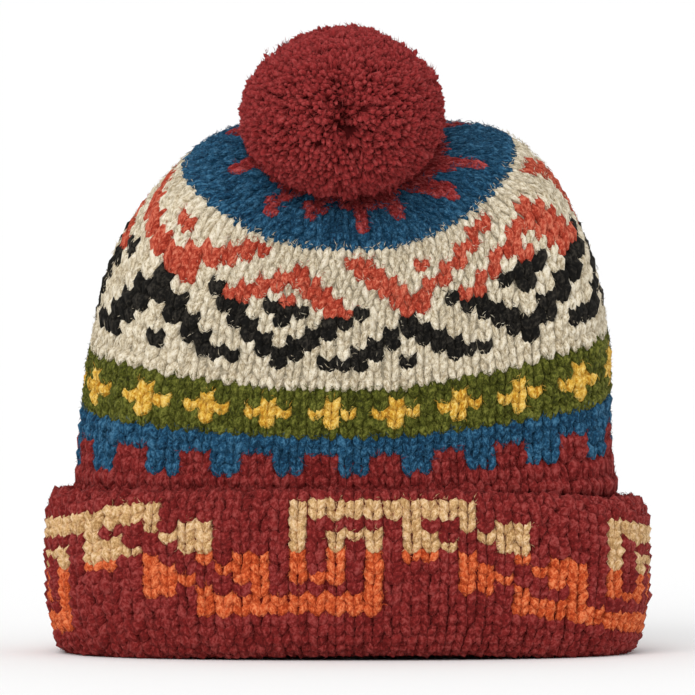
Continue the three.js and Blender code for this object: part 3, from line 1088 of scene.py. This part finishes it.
pompom_fuzz = Meshwork()
fuzz_tips = np.repeat(tuft_tips, FIBRES_PER_TUFT, axis=0)
fuzz_outward = np.repeat(tuft_outward, FIBRES_PER_TUFT, axis=0)
fuzz_roots = fuzz_tips - POMPOM_FIBRE_DEPTH * fuzz_outward
fuzz_lengths = rng.uniform(*POMPOM_FIBRE_LENGTHS, len(fuzz_roots))
add_fibres(pompom_fuzz, fuzz_roots, fuzz_outward, fuzz_lengths, POMPOM_FIBRE_RADIUS, POMPOM_FIBRE_SLANTS)
pompom_fuzz_material = yarn_material("pompom_fuzz", POMPOM_COLOURS, FUZZ_SCALES)
pompom_fuzzed = pompom_fuzz.make("pompom_fuzz", pompom_fuzz_material)


def pompom_core():
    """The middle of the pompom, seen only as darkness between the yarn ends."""
    tilt = np.linspace(CORE_POLE_ANGLE, np.pi - CORE_POLE_ANGLE, CORE_ROWS)[:, None]
    turn = np.linspace(0, 2 * np.pi, CORE_AROUND, endpoint=False)[None, :]
    ways = np.broadcast_arrays(np.sin(tilt) * np.cos(turn), np.sin(tilt) * np.sin(turn), np.cos(tilt))
    aims = np.stack(ways, -1).reshape(-1, 3)
    outward = aims @ pompom_frame
    depth, _ = parting_depth(outward)
    reach = pompom_reach(aims) * (CORE_REACH - CORE_PARTING * depth)
    points = pompom_middle + outward * reach[:, None]
    keep_out = np.clip(CORE_CLEARANCE - above_crown(points), 0, None)[:, None]
    points = points + keep_out * axis
    meshwork = Meshwork()
    rings = points.reshape(CORE_ROWS, CORE_AROUND, 3)[::-1]
    add_band(meshwork, rings, np.linspace(0, 1, CORE_ROWS))
    return meshwork


# The core takes the pompom's dark tone, darkened again as painted shade between the yarn ends
core_painted_shade_colour = darker(POMPOM_COLOURS[0], CORE_PAINTED_SHADE)
core_material = band_material("pompom_core_painted_shade", [(0, core_painted_shade_colour), (1, core_painted_shade_colour)])
core = pompom_core().make("pompom_core", core_material)


# Tie: a knot of the same yarn under the crown, with its stem through the eyelet


def tie_knot():
    """A knot that runs twice round with three crossings, and a straight stem."""
    meshwork = Meshwork()
    turn = np.linspace(0, 2 * np.pi, KNOT_STATIONS)
    ring = KNOT_TURNS_RADIUS + KNOT_TURNS_SWING * np.cos(3 * turn)
    rise = KNOT_TURNS_RISE * np.sin(3 * turn)
    knot = np.stack((ring * np.cos(2 * turn), ring * np.sin(2 * turn), rise), -1)
    middle = eyelet - eyelet_axis * (WALL + KNOT_DEPTH / 2 + KNOT_GAP)
    paths = (middle + knot @ pompom_frame)[None]
    ups = np.broadcast_to(pompom_far, paths.shape)
    meshwork.add_strands(paths, ups, np.full((1, KNOT_STATIONS), KNOT_YARN_RADIUS), KNOT_SIDES)
    stem = np.linspace(-WALL - KNOT_DEPTH / 2, POMPOM_AXIAL_RADIUS / 2, STEM_STATIONS)
    paths = (eyelet + stem[:, None] * eyelet_axis)[None]
    ups = np.broadcast_to(pompom_far, paths.shape)
    meshwork.add_strands(paths, ups, np.full((1, STEM_STATIONS), STEM_RADIUS), STEM_SIDES)
    return meshwork


tie = tie_knot().make("tie_knot", yarn_materials["red"])
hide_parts("pompom_tie")

# Floor, light and camera

floor_mesh = bpy.data.meshes.new("floor")
corner_signs = ((-1, -1), (1, -1), (1, 1), (-1, 1))
floor_corners = [(x * FLOOR_HALF, y * FLOOR_HALF, 0) for x, y in corner_signs]
floor_mesh.from_pydata(floor_corners, [], [(0, 1, 2, 3)])
floor = bpy.data.objects.new("floor", floor_mesh)
bpy.context.collection.objects.link(floor)
floor_material, _, floor_shader = new_material("pale_floor")
floor_shader.inputs["Base Color"].default_value = FLOOR_COLOUR
floor_shader.inputs["Roughness"].default_value = 0.9
floor_shader.inputs["Specular IOR Level"].default_value = 0.1
floor_mesh.materials.append(floor_material)

world = bpy.data.worlds.new("studio")
world.use_nodes = True
background = world.node_tree.nodes["Background"]
background.inputs["Color"].default_value = SKY_COLOUR
background.inputs["Strength"].default_value = SKY_STRENGTH
bpy.context.scene.world = world

sun_data = bpy.data.lights.new("key", "SUN")
sun_data.energy = SUN_STRENGTH
sun_data.angle = SUN_ANGLE
sun = bpy.data.objects.new("key", sun_data)
sun.rotation_euler = SUN_WAY.to_track_quat("-Z", "Y").to_euler()
bpy.context.collection.objects.link(sun)

camera_data = bpy.data.cameras.new("camera")
camera_data.sensor_fit = "HORIZONTAL"
camera_data.lens = camera_data.sensor_width * CAMERA_DISTANCE / PHOTO_WIDTH
camera_data.clip_end = 200
camera = bpy.data.objects.new("camera", camera_data)
camera_way = Vector((0, -math.cos(CAMERA_ELEVATION), math.sin(CAMERA_ELEVATION)))
camera.location = CAMERA_AIM + CAMERA_DISTANCE * camera_way
camera.rotation_euler = (-camera_way).to_track_quat("-Z", "Y").to_euler()
bpy.context.collection.objects.link(camera)
bpy.context.scene.camera = camera
bpy.context.scene.view_settings.view_transform = "Standard"
